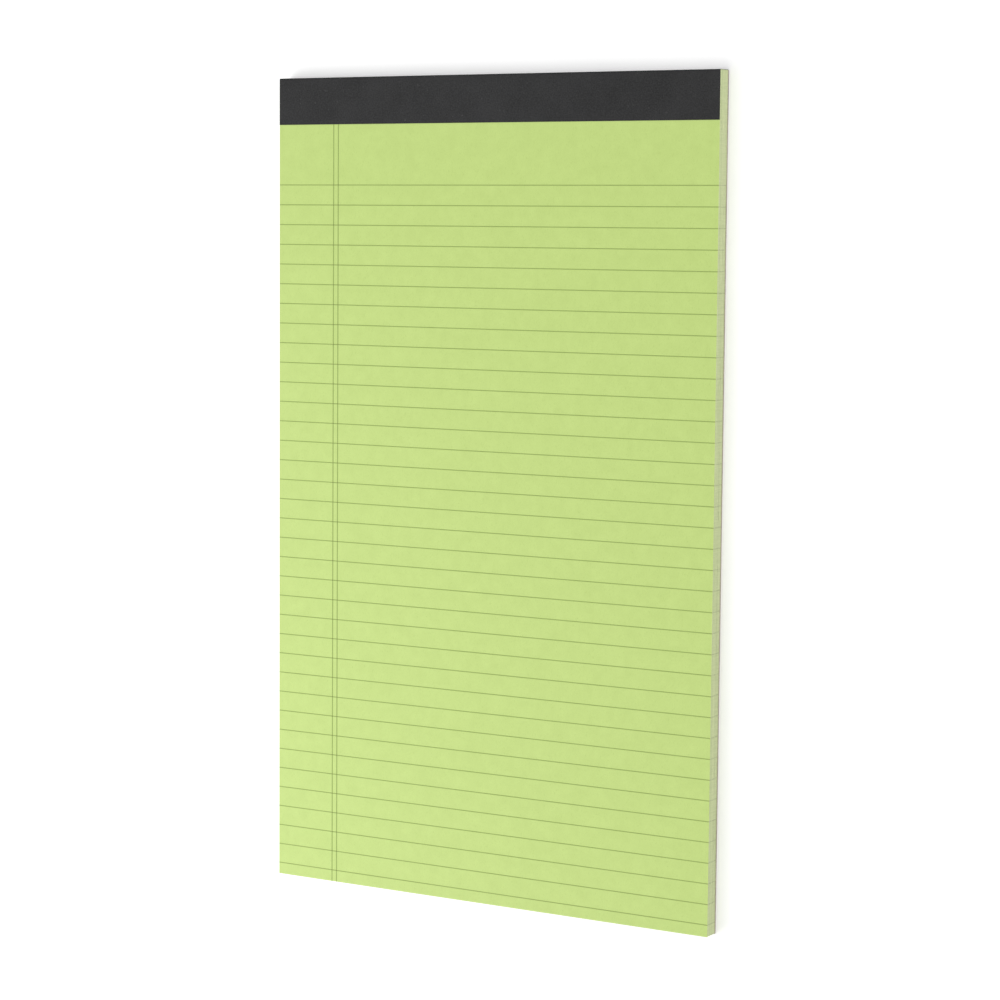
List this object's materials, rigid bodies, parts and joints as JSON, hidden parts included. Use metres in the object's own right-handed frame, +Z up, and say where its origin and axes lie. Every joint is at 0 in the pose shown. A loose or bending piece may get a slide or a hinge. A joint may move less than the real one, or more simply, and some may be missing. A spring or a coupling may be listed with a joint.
{
  "type": "legal pad",
  "caption": "Legal pad lying face up: a block of green ruled sheets with a margin rule on a chipboard back, stapled at the head under a folded black binding tape.",
  "frame": {"origin": "centre of the pad's footprint, on the surface that it lies on", "axes": "+X to the page's right, +Y towards the bound head, +Z up out of the page"},
  "size_m": [0.216, 0.3558, 0.0077],
  "materials": {
    "green_paper": "uncoated writing paper",
    "chipboard": "matt, fibrous",
    "black_tape": "grained binding paper, low sheen",
    "staple_wire": "bright drawn wire",
    "ruling_ink": "printed line on paper"
  },
  "bodies": {
    "root": {"paper_sheets": "green_paper", "backing_board": "chipboard", "binding_tape": "black_tape", "staples": "staple_wire", "page_ruling": "ruling_ink"}
  },
  "joints": []
}
